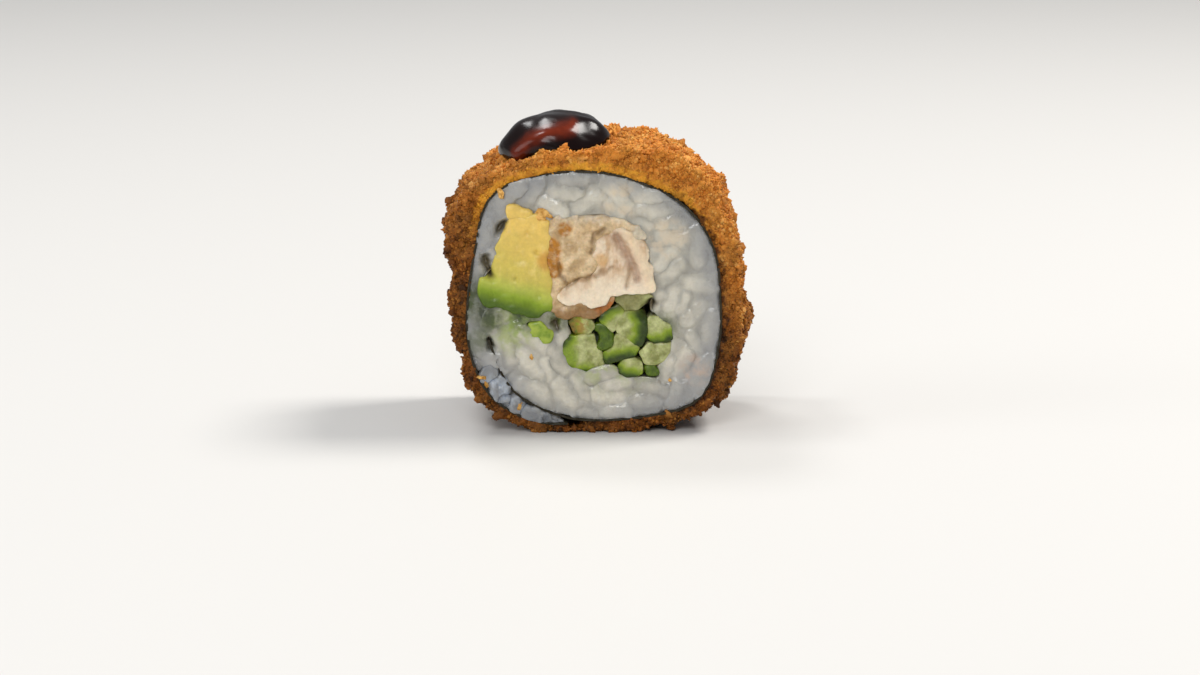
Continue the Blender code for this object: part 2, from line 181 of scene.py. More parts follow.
def ring(node, from_outside):
    """How far a node reaches from the middle line all the way round, as a function of the angle."""
    tree = BVHTree.FromObject(frame["nodes"][node], bpy.context.evaluated_depsgraph_get())
    turns = np.radians(np.arange(0, 361, 1.0))
    found = []
    for turn in turns:
        outwards = Vector((math.cos(turn), 0, math.sin(turn)))
        start, towards = MIDDLE, outwards
        if from_outside:
            start, towards = MIDDLE + outwards * WELL_OUTSIDE * MM, -outwards
        hit = tree.ray_cast(start, towards)[0]
        found.append((hit - MIDDLE).length / MM)
    return lambda angle: np.interp(np.mod(angle, math.tau), turns, found)


nori_outside = ring("nori", from_outside=True)
nori_inside = ring("nori", from_outside=False)
NORI_THICKNESS = nori_outside(0) - nori_inside(0)
POCKET_FROM, POCKET_TO = math.radians(213), math.radians(254)
print(f"nori {nori_inside(0):.1f} mm from the middle at the right, {NORI_THICKNESS:.2f} mm thick")


def polar(points):
    """(radius, angle) of points about the middle line."""
    return np.hypot(points[:, 0], points[:, 2]), np.arctan2(points[:, 2], points[:, 0])


def rice_limit(angle):
    """How far out the rice reaches: to the last turn of the nori, or to its inner end at the pocket."""
    turn = np.mod(angle, math.tau)
    at_pocket = (turn > POCKET_FROM) & (turn < POCKET_TO)
    return np.where(at_pocket, nori_inside(angle), nori_outside(angle) - NORI_THICKNESS)


# %% [markdown]
# ## Node trees written as sums
#
# A material or a scatter is a tree of nodes. One socket is wrapped in a small class with Python's own
# operators, so the maths of a pattern reads as a formula, and one method makes every other node.

# %% A socket that can be calculated with, and the tree that it is in
class Value:
    def __init__(self, tree, socket):
        self.tree, self.socket = tree, socket

    def maths(self, operation, *others):
        inputs = dict(enumerate((self, *others)))
        return self.tree.add("ShaderNodeMath", {"operation": operation}, inputs)

    def __add__(self, other):
        return self.maths("ADD", other)

    def __mul__(self, other):
        return self.maths("MULTIPLY", other)

    def __sub__(self, other):
        return self.maths("SUBTRACT", other)

    def __rsub__(self, other):
        return self.maths("MULTIPLY", -1.0).maths("ADD", other)

    def __pow__(self, other):
        return self.maths("POWER", other)

    __radd__, __rmul__ = __add__, __mul__

    def rise(self, low, high):
        """0 below low, 1 above high, and a smooth step between them."""
        settings = {"interpolation_type": "SMOOTHSTEP"}
        return self.tree.add("ShaderNodeMapRange", settings, {0: self, 1: low, 2: high})


class Tree:
    def __init__(self, nodes, links):
        self.nodes, self.links = nodes, links

    def add(self, kind, settings=None, inputs=None, output=0):
        """Makes a node. Its inputs are given by name, or by place where several share a name."""
        made = self.nodes.new(kind)
        for setting, value in (settings or {}).items():
            setattr(made, setting, value)
        for key, value in (inputs or {}).items():
            if isinstance(value, Value):
                self.links.new(value.socket, made.inputs[key])
            else:
                made.inputs[key].default_value = value
        return Value(self, made.outputs[output])

    def random(self, kind, inputs, output):
        return self.add("FunctionNodeRandomValue", {"data_type": kind}, inputs, output)


# %% [markdown]
# A finish is a material on one Principled shader. Everything in it is measured in millimetres from the middle
# of the roll too, so a stain or a blush can be put where it is on the food.

# %% Finishes
class Finish(Tree):
    def __init__(self, name, **constants):
        self.material = bpy.data.materials.new(name)
        self.material.use_nodes = True
        super().__init__(self.material.node_tree.nodes, self.material.node_tree.links)
        self.shader = self.nodes["Principled BSDF"]
        for socket, value in constants.items():
            self.shader.inputs[socket.replace("_", " ")].default_value = value
        objects = self.add("ShaderNodeTexCoord", output=3)
        moved = {"operation": "SUBTRACT"}
        centred = self.add("ShaderNodeVectorMath", moved, {0: objects, 1: MIDDLE})
        scaled = {0: centred, "Scale": 1 / MM}
        self.place = self.add("ShaderNodeVectorMath", {"operation": "SCALE"}, scaled)
        parts = [self.add("ShaderNodeSeparateXYZ", None, {0: self.place}, k) for k in range(3)]
        self.x, self.y, self.z = parts

    def grain(self, size, detail=2.0, stretch=(1, 1, 1), seed=0.0, distortion=0.0):
        """Noise from 0 to 1 whose features are about size millimetres across."""
        mapped = self.place
        if stretch != (1, 1, 1) or seed:
            settings = {0: self.place, 1: (seed, 2 * seed, -seed), 3: stretch}
            mapped = self.add("ShaderNodeMapping", None, settings)
        inputs = {"Vector": mapped, "Scale": 1 / size, "Detail": detail, "Distortion": distortion}
        return self.add("ShaderNodeTexNoise", None, inputs)

    def kept(self, name):
        """A number that was painted on the vertices."""
        return self.add("ShaderNodeAttribute", {"attribute_name": name}, output=2)

    def near(self, x, z, radius, softness=0.6):
        """1 round a point of the cut face, fading to 0 at the radius."""
        flat = self.add("ShaderNodeCombineXYZ", None, {0: self.x, 2: self.z})
        away = self.add("ShaderNodeVectorMath", {"operation": "DISTANCE"}, {0: flat, 1: (x, 0, z)}, 1)
        return 1 - away.rise(radius * (1 - softness), radius)

    def mix(self, first, second, share, blend="MIX"):
        colours = {key: (*c, 1) if isinstance(c, tuple) else c for key, c in ((6, first), (7, second))}
        return self.add("ShaderNodeMix", {"data_type": "RGBA", "blend_type": blend}, {0: share, **colours}, 2)

    def layers(self, colour, *coats):
        """The colour with coats laid over it one by one, each a colour and the share that it covers."""
        for coat, share in coats:
            colour = self.mix(colour, coat, share)
        return colour

    def mottled(self, colour, size, darkest, seed=0.0):
        """The colour with blotches of this size, where it is as much darker as the share says."""
        blotches = self.grain(size, 3, seed=seed).rise(0.3, 0.7)
        return self.mix(colour, (darkest,) * 3, blotches, "MULTIPLY")

    def colour(self, value):
        self.links.new(value.socket, self.shader.inputs["Base Color"])

    def relief(self, height, depth):
        """Bump from a height of 0 to 1, which stands for this many millimetres."""
        bump = self.add("ShaderNodeBump", None, {"Height": height, "Distance": depth * MM})
        self.links.new(bump.socket, self.shader.inputs["Normal"])


def dress(piece, finish, slot, *nodes):
    """Gives a piece its finish, and hides the CAD nodes that it stands for. The slot is not used."""
    piece.data.materials.clear()
    piece.data.materials.append(finish.material)
    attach(piece, "root")
    if nodes:
        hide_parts(*nodes)
    print(f"{piece.name}: {len(piece.data.polygons)} faces")
    return piece


# %% [markdown]
# ## The crust
#
# The batter sets as a soft, golden skin, and bread crumbs stick to it on every side. From a step away the
# crumbs make the outline rough, so they have to be real shapes and not only a pattern. First comes the skin
# itself: the coat of the CAD model, remeshed finely and roughened with two sizes of cloud. Near the nori it
# stays smooth, because there the knife shows the batter in section. Where the front edge has a tuft or a
# dent, the skin is drawn out or pressed in, so the crumbs that are set on it follow.

# %% The batter skin
CRUST_VOXEL = 0.36
CUT_PLANE = 13.5
LEAST_RIM = 0.1  # of bare batter inside the crumbs
RIM_AT_TOP = 0.8  # and how much wider it is at the top
CRUMBLY_OVER = 0.7
# Places round the front edge where the crumbs are heaped, or a dent where the height is negative:
# x, z, width, height
HEAPS = ((24.2, -4.5, 1.9, 1.1), (18.5, 18.5, 3.6, 1.6), (12.0, 22.0, 3.6, 1.0), (4.0, 24.5, 3.0, 0.7),
         (-14.6, 22.7, 1.1, 2.6), (-21.0, 16.5, 1.6, 1.0), (-24.3, 13.5, 2.0, 0.9), (-24.0, 4.5, 4.0, -0.8),
         (22.5, -14.0, 2.0, 0.7))


def clouds(size, depth):
    texture = bpy.data.textures.new("clouds", "CLOUDS")
    texture.noise_scale = size * MM
    texture.noise_depth = depth
    return texture


def rim_width(angle):
    """The band of bare batter inside the crumbs is wide at the top and all but gone elsewhere."""
    return LEAST_RIM + RIM_AT_TOP * smooth(np.sin(angle), 0.4, 0.95)


def level_at_cut(points):
    """The knife leaves little standing out beyond the cut planes, and the board nothing below it."""
    press(points, CUT_PLANE, 0.75)
    points[:, 2] = np.maximum(points[:, 2], -MIDDLE.z / MM)


crust = remeshed(node_copy("crumb_coat", "crumb_crust"), CRUST_VOXEL)
radius, angle = polar(places(crust))
from_nori = radius - nori_outside(angle)
edge = rim_width(angle) + ripple(places(crust), 1.2, 6.0) * 0.5
crumbly = smooth(from_nori, edge, edge + CRUMBLY_OVER)
group = crust.vertex_groups.new(name="crumbly")
for index, weight in enumerate(crumbly.tolist()):
    group.add([index], weight, "REPLACE")
modify(crust, "DISPLACE", texture=clouds(2.0, 2), strength=1.9 * MM, mid_level=0.72, vertex_group="crumbly")
modify(crust, "DISPLACE", texture=clouds(0.6, 1), strength=0.5 * MM, mid_level=0.6, vertex_group="crumbly")

points = places(crust)
radius, angle = polar(points)
to_nori = nori_outside(angle) - 0.02 + ripple(points, 0.8) * 0.12 - radius
to_nori *= 1 - smooth(from_nori, 0.4, 0.9)
move_out(points, angle, to_nori)
for x, z, width, height in HEAPS:
    away_squared = (points[:, 0] - x) ** 2 + (points[:, 2] - z) ** 2
    heap = np.exp(-(away_squared / width**2)) * (points[:, 1] < 2) * height
    move_out(points, angle, heap)
raise_face(points, ripple(points, 1.3) * 0.25 * smooth(abs(points[:, 1]), 12.5, 13.4))
level_at_cut(points)
put(crust, points)
paint(crust, "from_nori", from_nori)
paint(crust, "crumbs", crumbly)
paint(crust, "dust", smooth(from_nori, 0.05, 0.5))
bpy.ops.object.shade_smooth()

# %% [markdown]
# The crumbs are chips of dry bread. Two sizes are modelled as dented spheres of few faces, and the dust
# between them as dented shapes of eight faces, because it takes over twenty thousand of those. Geometry Nodes
# sets them on the skin: points are spread at an even spacing, one chip of a collection is picked for each,
# turned and scaled at random, and the instances are then made real. Each chip keeps a random number called
# shade, by which the material toasts some darker than others.

# %% Chips of bread
TIPS = ((1, 0, 0), (0, 1, 0), (-1, 0, 0), (0, -1, 0), (0, 0, 1), (0, 0, -1))
TIP_FACES = ((0, 1, 4), (1, 2, 4), (2, 3, 4), (3, 0, 4), (1, 0, 5), (2, 1, 5), (3, 2, 5), (0, 3, 5))
DENTS = 0.75


def chip(name, faces, seed, flatness):
    """A dented chip of 8, 20 or 80 faces."""
    if faces == len(TIP_FACES):
        mesh = bpy.data.meshes.new(name)
        mesh.from_pydata(TIPS, [], TIP_FACES)
        made = new_piece(name, mesh)
    else:
        bpy.ops.mesh.primitive_ico_sphere_add(subdivisions=1 if faces == 20 else 2, radius=1)
        made = bpy.context.object
        made.name = name
    draw = np.random.default_rng(seed)
    stretch = draw.uniform(0.6, 1.3, 3) * (1, 1, flatness)
    for vertex in made.data.vertices:
        dent = 1 + DENTS * noise.noise(vertex.co * 1.7 + Vector((seed * 3.1, 0, 0)))
        vertex.co = vertex.co * dent * draw.uniform(0.85, 1.15) * Vector(stretch)
    made.data.shade_smooth()
    return made


def chips(name, faces, flatness, count=5):
    """A collection of chips of this many faces, to be picked from at random."""
    home = bpy.data.collections.new(name)
    for index in range(count):
        made = chip(f"{name}_{index}", faces, index + faces, flatness)
        for owner in made.users_collection:
            owner.objects.unlink(made)
        home.objects.link(made)
    return home


# %% Setting them on the skin
def scattered(name, ground, shapes, spacing, sizes, seed, thinned_by):
    """Chips on a ground as one real mesh, with their spacing and sizes in millimetres.

    thinned_by names the number on the ground that says which share of the chips stays, from 0 to 1.
    """
    piece = new_piece(name, ground.data.copy())
    group = bpy.data.node_groups.new(name, "GeometryNodeTree")
    for direction in ("INPUT", "OUTPUT"):
        group.interface.new_socket("Geometry", in_out=direction, socket_type="NodeSocketGeometry")
    tree = Tree(group.nodes, group.links)
    ground_in = tree.add("NodeGroupInput")
    share = tree.add("GeometryNodeInputNamedAttribute", {"data_type": "FLOAT"}, {0: thinned_by})
    even = {"Distance Min": spacing * MM, "Density Max": 4 / (spacing * MM) ** 2}
    spread = {"Mesh": ground_in, "Density Factor": share, "Seed": seed, **even}
    dots = tree.add("GeometryNodeDistributePointsOnFaces", {"distribute_method": "POISSON"}, spread)
    chosen = tree.add("GeometryNodeCollectionInfo", None, {0: shapes, 1: True, 2: True})
    size = tree.random("FLOAT", {2: sizes[0] * MM / 2, 3: sizes[1] * MM / 2, 8: seed + 1}, 1)
    turn = tree.random("FLOAT_VECTOR", {0: (0, 0, 0), 1: (math.tau,) * 3, 8: seed + 2}, 0)
    shade = tree.random("FLOAT", {2: 0.0, 3: 1.0, 8: seed + 3}, 1)
    which = tree.random("INT", {4: 0, 5: len(shapes.objects) - 1, 8: seed + 4}, 2)
    set_down = {0: dots, 2: chosen, 3: True, 4: which, 5: turn, 6: size}
    instances = tree.add("GeometryNodeInstanceOnPoints", None, set_down)
    kept = {"data_type": "FLOAT", "domain": "INSTANCE"}
    named = tree.add("GeometryNodeStoreNamedAttribute", kept, {0: instances, 2: "shade", 3: shade})
    real = tree.add("GeometryNodeRealizeInstances", None, {0: named})
    last = group.nodes.new("NodeGroupOutput")
    group.links.new(real.socket, last.inputs[0])
    modify(piece, "NODES", node_group=group)
    crumbs = places(piece)
    level_at_cut(crumbs)
    put(piece, crumbs)
    radius, angle = polar(crumbs)
    paint(piece, "from_nori", radius - nori_outside(angle))
    return piece


crumb_dust = scattered("crumb_dust", crust, chips("dust_chips", 8, 0.9), 0.46, (0.4, 0.75), 5, "dust")
fine_crumbs = scattered("fine_crumbs", crust, chips("fine_chips", 20, 0.8), 0.72, (0.45, 0.95), 3, "crumbs")
large_chips = chips("large_chips", 80, 0.6)
large_crumbs = scattered("large_crumbs", crust, large_chips, 2.0, (0.7, 1.7), 8, "crumbs")

# %% [markdown]
# Fried bread goes from pale gold on the tips to orange and then brown in the hollows. One formula serves the
# skin and the crumbs: a random shade for each crumb, a slow drift over the crust from golden to toasted, some
# redder patches, and a bright yellow at the cut rim of the batter. Over these it paints shade: the crust is
# darker at the left and below, and the rim beside the nori at the right lies in painted deep shade.

# %% The fried finish
def fried(name, shade):
    """The finish of fried crumbs. shade gives each crumb's random tone, or a pattern on the skin."""
    finish = Finish(name, Roughness=0.5, Specular_IOR_Level=0.16, Subsurface_Weight=0.15,
                    Subsurface_Radius=(1.0, 0.45, 0.15), Subsurface_Scale=0.6 * MM)
    tone = shade(finish) * 0.5 + finish.grain(2.6, 3, seed=4.0) * 0.9 - 0.2
    golden = finish.mix((0.36, 0.130, 0.019), (0.68, 0.275, 0.042), tone.rise(0.1, 0.6))
    golden = finish.mix(golden, (0.86, 0.48, 0.14), tone.rise(0.55, 0.9))
    toasted_and_shaded = finish.mix((0.050, 0.017, 0.003), (0.235, 0.085, 0.012), tone.rise(0.15, 0.65))
    toasted_and_shaded = finish.mix(toasted_and_shaded, (0.58, 0.265, 0.055), tone.rise(0.6, 0.95))
    # Painted shade: darker towards the left and the bottom, mixed with a slow random drift from golden to
    # toasted.
    low = (finish.grain(7.0, 1, seed=9.0) * 12.0 - 6.0 - finish.z * 0.9 - finish.x * 0.3).rise(-20.0, 4.0)
    crumb = finish.mix(golden, toasted_and_shaded, low)
    ragged = finish.kept("from_nori") + finish.grain(1.1, 3) * 2.6 - 1.3
    inside = (1 - ragged.rise(0.7, 1.7)) * (finish.z + finish.grain(4.0, 1) * 4.0 - 2.0).rise(7.0, 15.0)
    batter = finish.mix((0.40, 0.13, 0.006), (0.84, 0.38, 0.030), tone.rise(0.1, 0.8))
    crumb = finish.mix(crumb, (1.0, 0.86, 0.68), finish.grain(4.0, 3, seed=12.0).rise(0.35, 0.6), "MULTIPLY")
    crumb = finish.mix(crumb, batter, inside * 0.9)
    # Painted shade in the gap beside the nori at the right.
    gap_shade = (1 - ragged.rise(0.2, 1.1)) * (finish.x + finish.grain(4.0, 1) * 4.0 - 2.0).rise(11.0, 16.0)
    crumb = finish.mix(crumb, (0.20, 0.16, 0.12), gap_shade, "MULTIPLY")
    finish.colour(finish.mottled(crumb, 0.5, 0.75))
    finish.relief(finish.grain(0.4, 4), 0.25)
    return finish


crust_finish = fried("fried_batter_skin", lambda f: f.grain(0.7, 2))
crumb_finish = fried("fried_crumbs", lambda f: f.kept("shade"))
dress(crust, crust_finish, "fried_crumbs", "crumb_coat")
dress(crumb_dust, crumb_finish, "fried_crumbs")
dress(fine_crumbs, crumb_finish, "fried_crumbs")
dress(large_crumbs, crumb_finish, "fried_crumbs")

# %% [markdown]
# ## The nori
#
# Toasted seaweed is a thin, almost black sheet with a slightly torn edge. The CAD strip has the right run and
# thickness, so a copy is divided finely and its surface and its cut edges are given a little waviness.

# %% The sheet
# Grains hide the inner end of the sheet here, so its edge lies deeper
COVERED_FROM, COVERED_TO = math.radians(206), math.radians(216)
COVERED_DEPTH = 1.6

nori = node_copy("nori", "nori_sheet")
modify(nori, "SUBSURF", subdivision_type="SIMPLE", levels=2, render_levels=2)
points = places(nori)
radius, angle = polar(points)
move_out(points, angle, ripple(points, 1.6) * 0.07)
turn = np.mod(angle, math.tau)
covered = (turn > COVERED_FROM) & (turn < COVERED_TO) & (radius < nori_inside(angle) - 0.3)
level = np.where(covered, -COVERED_DEPTH, ripple(points, 0.9, 5.0) * 0.3 - 0.3)
raise_face(points, level * (abs(points[:, 1]) > 13))
put(nori, points)
nori_finish = Finish("toasted_nori", Roughness=0.5, Specular_IOR_Level=0.25)
green = nori_finish.grain(0.9, 4)
nori_finish.colour(nori_finish.mix((0.008, 0.006, 0.003), (0.040, 0.032, 0.014), green))
nori_finish.relief(nori_finish.grain(0.3, 3), 0.05)
dress(nori, nori_finish, "nori", "nori")

# %% [markdown]
# ## Hollows
#
# Here and there the fillings and the grains don't quite meet, and one looks into a dark gap. A short list of
# places on the cut face is used by everything that lies round them, to sink them there and to paint shade into
# them.

# %% Gaps in the cut face
HOLLOW_DEPTH = 1.7
# x and z of one end, x and z of the other, width
HOLLOWS = ((9.1, -0.9, 8.3, -2.1, 0.9), (-16.9, -7.2, -16.5, -8.0, 0.6), (-15.9, -12.4, -15.3, -13.2, 0.6),
           (-15.3, 10.9, -14.4, 12.0, 0.6), (-17.5, 6.2, -16.8, 3.6, 0.8), (-6.5, -4.0, -6.2, -5.0, 0.6))


def stroke(points, start, end, width):
    """1 on a line drawn on the cut face, fading to 0 outside its width."""
    flat, way = points[:, [0, 2]] - start, np.subtract(end, start)
    share = np.clip(flat @ way / (way @ way), 0, 1)
    away = np.hypot(*(flat - share[:, None] * way).T)
    return np.exp(-((away / width) ** 2))


def strokes(points, corners, width):
    """The same for a line with several corners."""
    return np.max([stroke(points, start, end, width) for start, end in zip(corners, corners[1:])], axis=0)


def wandering(points, size, reach):
    """The same points, but moved about a little, so that a line drawn on them gets ragged."""
    moves = [ripple(points, size, 11.0), np.zeros(len(points)), ripple(points, size, 17.0)]
    return points + np.stack(moves, axis=1) * reach


def hollow_at(points):
    moved = wandering(points, 1.2, 0.5)
    return np.max([stroke(moved, (x1, z1), (x2, z2), size) for x1, z1, x2, z2, size in HOLLOWS], axis=0)


# %% [markdown]
# ## The rice
#
# Cooked short-grain rice sticks together but keeps its grains: at the knife they are cut flush and pressed
# into each other. So real grains are thrown on each face at random and kept where they have room, in three
# passes that leave less and less room, then joined, remeshed into one body and softened, and last pressed to
# the plane of the cut. Behind them the CAD core fills the roll.

# %% One grain
GRAIN_LENGTH = 5.6
GRAIN_WIDTH = 2.6
GRAIN_THICKNESS = 2.3

bpy.ops.mesh.primitive_uv_sphere_add(segments=14, ring_count=10, radius=0.5)
grain_shape = bpy.context.object
for vertex in grain_shape.data.vertices:
    fuller = 1 + 0.12 * (1 - (2 * vertex.co.z) ** 2) * abs(2 * vertex.co.z)
    vertex.co *= Vector((fuller * GRAIN_WIDTH, fuller * GRAIN_THICKNESS, GRAIN_LENGTH))


def joined(name, shape, moves):
    """One mesh of many moved copies of a shape. The moves are matrices, in millimetres from the middle."""
    corners = np.array([vertex.co for vertex in shape.data.vertices])
    faces = [tuple(polygon.vertices) for polygon in shape.data.polygons]
    all_corners, all_faces = [], []
    for move in moves:
        start = len(all_corners) * len(corners)
        turned = corners @ np.array(move)[:3, :3].T + np.array(move)[:3, 3]
        all_corners.append(turned * MM + np.array(MIDDLE))
        all_faces += [tuple(corner + start for corner in face) for face in faces]
    mesh = bpy.data.meshes.new(name)
    mesh.from_pydata(np.concatenate(all_corners).tolist(), [], all_faces)
    return new_piece(name, mesh)


# %% Where the fillings are
def one_tree(nodes):
    corners, faces = [], []
    for node in nodes:
        start = len(corners)
        mesh = frame["nodes"][node].data
        corners += [vertex.co.copy() for vertex in mesh.vertices]
        faces += [[corner + start for corner in polygon.vertices] for polygon in mesh.polygons]
    return BVHTree.FromPolygons(corners, faces)


OUTER_PIECES = ("crumb_coat", "nori", "rice", "sauce_drop")
fillings = one_tree([name for name in frame["nodes"] if name not in OUTER_PIECES])


def room(x, y, z):
    """Millimetres from a point to the nearest filling, negative inside one."""
    point = Vector((x, y, z)) * MM + MIDDLE
    hit, normal, _, distance = fillings.find_nearest(point)
    return math.copysign(distance / MM, (point - hit).dot(normal))


# %% [markdown]
# Three circles along a grain keep it clear of the others, of the nori and of the fillings. Most grains lie
# round the roll, as rolling turns them, but at the right they point every way. A few that are easy to tell in
# the cut have a place of their own.

# %% Throwing grains
# Each pass: least distance between two grains, how many are thrown, their size, the depth of their middles
PASSES = ((2.0, 3000, 1.08, 0.85), (1.75, 3500, 0.95, 0.95), (1.5, 3500, 0.78, 0.95))
# x, z and heading in degrees
SET_GRAINS = ((-6.6, 14.7, -30), (-17.3, 10.4, 82), (-13.9, -8.6, 102), (-18.6, -7.2, 104), (-15.8, -3.4, 20),
              (-16.7, -10.6, 118))
THROWN_OVER = 22.5  # from the middle line
SPOT_REACH = 1.7  # from the middle of a grain to the circle at each end of it
SLANT = 0.06  # the spread of the slants of their cut faces
AT_RIGHT = 0.9  # radians above and below the right
ANY_WAY, ROUND_THE_ROLL = 1.2, 0.4  # the spread of their headings there, and elsewhere
NORI_CLEARANCE = 0.9
FILLING_CLEARANCE = 0.75


class Grain:
    def __init__(self, x, z, heading, lean, size, depth, draw):
        self.middle = np.array((x, z))
        self.heading, self.lean, self.size, self.depth = heading, lean, size, depth
        self.along = np.array((math.cos(heading), math.sin(heading))) * math.cos(lean) * size
        self.shade, self.slant = draw.uniform(), draw.normal(0, SLANT, 2)

    def spots(self):
        return [self.middle + self.along * reach for reach in (-SPOT_REACH, 0, SPOT_REACH)]

    def move(self, side, roll):
        turn = Matrix.Rotation(math.pi / 2 - self.heading, 4, "Y") @ Matrix.Rotation(self.lean * side, 4, "X")
        turn = turn @ Matrix.Rotation(roll, 4, "Z") @ Matrix.Scale(self.size, 4)
        x, z = self.middle
        return Matrix.Translation((x, side * (FACE - self.depth), z)) @ turn


def thrown(side, draw):
    grains = [Grain(x, z, math.radians(turn), 0.05, 1.0, 0.7, draw) for x, z, turn in SET_GRAINS]
    taken = np.array([spot for grain in grains for spot in grain.spots()])
    for spacing, tries, size, depth in PASSES:
        for _ in range(tries):
            angle = draw.uniform(-math.pi, math.pi)
            outwards = np.array((math.cos(angle), math.sin(angle)))
            x, z = outwards * math.sqrt(draw.uniform(0.04, 1)) * THROWN_OVER
            lean = draw.normal(0, 0.25)
            turning = ANY_WAY if abs(angle) < AT_RIGHT else ROUND_THE_ROLL
            heading = angle + math.pi / 2 + draw.normal(0, turning)
            own_size = size * draw.uniform(0.92, 1.08)
            own_depth = depth + draw.uniform(-0.2, 0.2)
            grain = Grain(x, z, heading, lean, own_size, own_depth, draw)
            spots = np.array(grain.spots())
            reach, round_at = np.hypot(*spots.T), np.arctan2(spots[:, 1], spots[:, 0])
            if (reach > rice_limit(round_at) - NORI_CLEARANCE).any():
                continue
            if (np.hypot(*(taken[:, None] - spots[None]).T) < spacing).any():
                continue
            if min(room(a, side * (FACE - 1.5), b) for a, b in spots) < FILLING_CLEARANCE:
                continue
            grains.append(grain)
            taken = np.vstack([taken, spots])
    return grains


# %% [markdown]
# Behind the grains lies a plate, the end of the rice solid. It is deeper in the pocket at the lower left,
# where the end of the nori stops short of the last turn.

# %% The rice behind the grains
def pocket(points):
    radius, angle = polar(points)
    turn = np.mod(angle, math.tau)
    return (radius > nori_inside(angle) + 0.2) & (turn > POCKET_FROM) & (turn < POCKET_TO)


def slab(name, side, front=0.4, back=3.0, in_pocket=1.5):
    """The end of the rice solid as a plate. Its depths are measured from the cut."""
    piece = node_copy("rice", name)
    points = places(piece)
    depth = np.where(side * points[:, 1] > 12, np.where(pocket(points), in_pocket, front), back)
    points[:, 1] = side * (FACE - depth)
    put(piece, points)
    return piece


# %% Laying, fusing and pressing them
RICE_VOXEL = 0.21
SWELLING = 0.18  # of the grains once they are fused
PRESS_DEPTH = 0.4  # from the cut to the plane that they are pressed to
FLATTENED = 0.75  # the share of their unevenness that goes
LOWEST_GRAIN = 0.12
GROOVE = 0.05


def grain_pattern(piece, grains):
    """Paints the nearest grain's shade, heart and seams on a face, and returns how far each point stands out.

    A cut grain is a flat facet, a little slanted, so neighbours meet in small steps and thin grooves.
    """
    points = places(piece)
    flat = points[:, [0, 2]] + np.stack([ripple(points, 1.3, 4.0), ripple(points, 1.3, 14.0)], axis=1) * 0.5
    nearest = np.full(len(flat), 99.0)
    second, shade, level = nearest.copy(), np.zeros(len(flat)), np.zeros(len(flat))
    for grain in grains:
        from_middle = flat - grain.middle
        share = from_middle @ grain.along / (grain.along @ grain.along)
        share = np.clip(share, -SPOT_REACH, SPOT_REACH)
        away = np.hypot(*(from_middle - share[:, None] * grain.along).T) / grain.size
        closer = away < nearest
        second = np.where(closer, nearest, np.minimum(second, away))
        shade[closer] = grain.shade
        level[closer] = (from_middle[closer] @ grain.slant) - LOWEST_GRAIN * (1 - grain.shade)
        nearest = np.minimum(nearest, away)
    smeared = smooth(ripple(points, 4.0, 6.0), -0.1, 0.4)
    seam = (1 - smooth(second - nearest, 0.0, 0.6)) * (0.15 + 0.85 * smeared)
    heart = 1 - smooth(nearest, 0.3, 1.4)
    for key, values in (("shade", shade), ("seam", seam), ("heart", heart)):
        paint(piece, key, values)
    return level - seam * GROOVE - (1 - heart) * GROOVE


def up_to_nori(points, slack):
    """Moves rice that ends past the nori, or just short of it, to this far inside the nori."""
    radius, angle = polar(points)
    over = radius - (rice_limit(angle) - slack)
    over *= (over > -0.55) & ~pocket(points)
    move_out(points, angle, -over)


def rice_face(name, side, seed):
    draw = np.random.default_rng(seed)
    grains = thrown(side, draw)
    plate = slab("plate", side)
    piece = joined(name, grain_shape, [grain.move(side, draw.uniform(-0.6, 0.6)) for grain in grains])
    plate.select_set(True)
    bpy.ops.object.join()
    remeshed(piece, RICE_VOXEL)
    points = places(piece)
    put(piece, points + directions(piece) * (SWELLING, 0, SWELLING))
    modify(piece, "SMOOTH", factor=0.5, iterations=3)
    level = grain_pattern(piece, grains)
    points = places(piece)
    above = side * points[:, 1] - (FACE - PRESS_DEPTH)
    facing = smooth(above, -0.8, 0)
    sunk = hollow_at(points)
    points[:, 1] -= side * facing * above * FLATTENED
    points[:, 1] += side * facing * (level - sunk * HOLLOW_DEPTH)
    put(piece, points)
    modify(piece, "SMOOTH", factor=0.5, iterations=5)
    points = places(piece)
    points[:, 1] += side * facing * (ripple(points, 1.4) * 0.06 + ripple(points, 0.5) * 0.05)
    # At the left and at the top the rice was smeared over the edge of the nori
    onto_nori = 0.02 + 0.22 * smooth(-points[:, 0], 8, 16) + 0.15 * smooth(points[:, 2], 12, 18)
    up_to_nori(points, 0.18 * ripple(points, 1.3, 8.0) - onto_nori)
    put(piece, points)
    paint(piece, "sunk", sunk)
    bpy.ops.object.shade_smooth()
    print(f"{name}: {len(grains)} grains")
    return piece


rice_front = rice_face("rice_front", -1, 21)
rice_back = rice_face("rice_back", 1, 31)
rice_core = node_copy("rice", "rice_core")
points = places(rice_core)
points[:, 1] *= 0.8
put(rice_core, points)

# %% [markdown]
# A few loose grains lie in the pocket, greyer than the rest because they are in the shade and wet with oil.

# %% The grains in the pocket
# Degrees round the roll, millimetres from its middle, length, width
POCKET_GRAINS = ((224, 21.7, 4.6, 4.3), (234, 21.5, 3.2, 3.6), (243.5, 21.7, 5.4, 3.5),
                 (216, 21.4, 3.6, 3.4), (229, 22.1, 3.0, 2.4), (251, 21.6, 4.4, 2.8))
POCKET_DEPTH = 1.25

